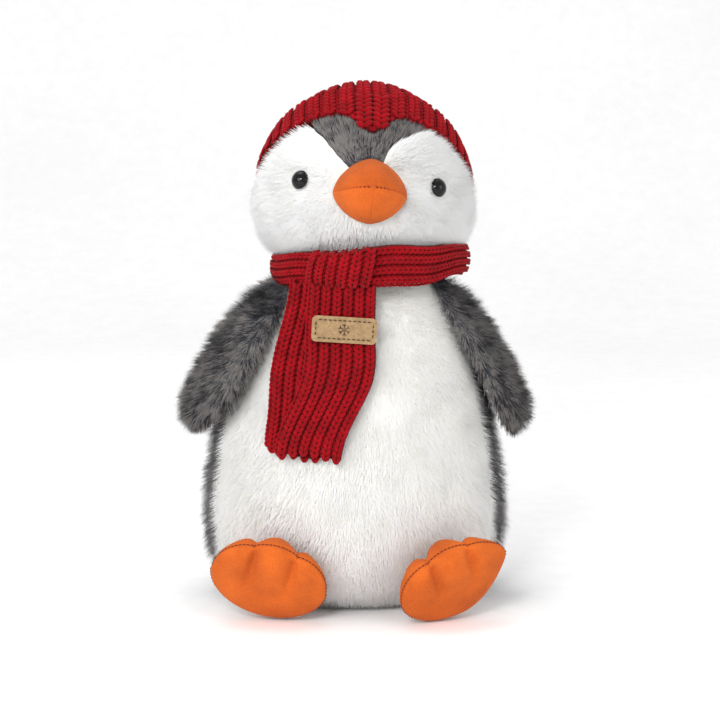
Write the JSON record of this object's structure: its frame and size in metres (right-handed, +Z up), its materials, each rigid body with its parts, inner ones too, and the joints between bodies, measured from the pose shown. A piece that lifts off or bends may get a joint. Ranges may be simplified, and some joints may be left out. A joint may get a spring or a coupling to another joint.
{
  "type": "plush penguin",
  "caption": "Sitting plush penguin with a white belly and face, grey back and flippers, orange beak and feet, and a red knitted hat and scarf with a small label.",
  "frame": {"origin": "middle of the flat sitting base, on the surface it sits on", "axes": "+Z up along the height, the toy faces -Y, +X is the toy's own left"},
  "size_m": [0.2279, 0.1814, 0.3299],
  "materials": {
    "white_plush": "long white pile",
    "grey_plush": "long grey pile with paler tips",
    "orange_plush": "short brushed pile",
    "stuffing": "loose polyester fibre",
    "bag_cloth": "plain woven cotton",
    "pellet": "loose plastic pellets",
    "red_knit": "ribbed wool knit",
    "label_leather": "smooth matt",
    "thread": "waxed thread",
    "eye_plastic": "polished",
    "washer_plastic": "moulded"
  },
  "bodies": {
    "body": {"belly_panel": "white_plush", "back_panel_left": "grey_plush", "back_panel_right": "grey_plush", "base_panel": "grey_plush", "body_stuffing": "stuffing", "pellet_bag": "bag_cloth", "pellets": "pellet", "scarf_wrap": "red_knit", "scarf_fold": "red_knit"},
    "neck": {"neck_stuffing": "stuffing"},
    "head": {"crown_panel": "grey_plush", "head_back_left": "grey_plush", "head_back_right": "grey_plush", "cheek_left": "white_plush", "cheek_right": "white_plush", "head_stuffing": "stuffing", "beak_upper": "orange_plush", "beak_lower": "orange_plush", "beak_stuffing": "stuffing", "eye_left": "eye_plastic", "eye_right": "eye_plastic", "eye_washer_left": "washer_plastic", "eye_washer_right": "washer_plastic", "hat_crown": "red_knit", "hat_cuff": "red_knit"},
    "flipper_left": {"flipper_left_outer": "grey_plush", "flipper_left_inner": "grey_plush", "flipper_left_stuffing": "stuffing"},
    "flipper_right": {"flipper_right_outer": "grey_plush", "flipper_right_inner": "grey_plush", "flipper_right_stuffing": "stuffing"},
    "foot_left": {"foot_left_upper": "orange_plush", "foot_left_sole": "orange_plush", "foot_left_stuffing": "stuffing"},
    "foot_right": {"foot_right_upper": "orange_plush", "foot_right_sole": "orange_plush", "foot_right_stuffing": "stuffing"},
    "scarf_tail_front": {"scarf_tail_front": "red_knit", "label": "label_leather", "label_stitches": "thread"},
    "scarf_tail_back": {"scarf_tail_back": "red_knit"}
  },
  "joints": [
    {"name": "head_turn", "type": "hinge", "parent": "body", "child": "neck", "pos_m": [0, 0, 0.218], "axis": [0, 0, 1], "range_deg": [-15, 15], "stiffness_Nm_per_rad": 0.35},
    {"name": "head_nod", "type": "hinge", "parent": "neck", "child": "head", "pos_m": [0, 0, 0.218], "axis": [1, 0, 0], "range_deg": [-5, 5], "stiffness_Nm_per_rad": 0.8},
    {"name": "flipper_left_lift", "type": "hinge", "parent": "body", "child": "flipper_left", "pos_m": [0.06087, -0.01537, 0.2], "axis": [-0.2924, -0.9563, 0], "range_deg": [0, 60], "stiffness_Nm_per_rad": 0.03},
    {"name": "flipper_right_lift", "type": "hinge", "parent": "body", "child": "flipper_right", "pos_m": [-0.05338, -0.02864, 0.2], "axis": [-0.5446, 0.8387, 0], "range_deg": [0, 60], "stiffness_Nm_per_rad": 0.03},
    {"name": "foot_left_tip", "type": "hinge", "parent": "body", "child": "foot_left", "pos_m": [0.0615, -0.088, 0.003], "axis": [1, 0, 0], "range_deg": [0, 25], "stiffness_Nm_per_rad": 0.05},
    {"name": "foot_right_tip", "type": "hinge", "parent": "body", "child": "foot_right", "pos_m": [-0.0525, -0.088, 0.003], "axis": [1, 0, 0], "range_deg": [0, 25], "stiffness_Nm_per_rad": 0.05},
    {"name": "scarf_tail_front_swing", "type": "hinge", "parent": "body", "child": "scarf_tail_front", "pos_m": [-0.0065, -0.0715, 0.205], "axis": [-1, 0, 0], "range_deg": [0, 60]},
    {"name": "scarf_tail_back_swing", "type": "hinge", "parent": "body", "child": "scarf_tail_back", "pos_m": [-0.0065, -0.0715, 0.205], "axis": [-1, 0, 0], "range_deg": [0, 60]}
  ],
  "couplings": [
    {"joint": "scarf_tail_back_swing", "follows": "scarf_tail_front_swing", "ratio": 1}
  ]
}
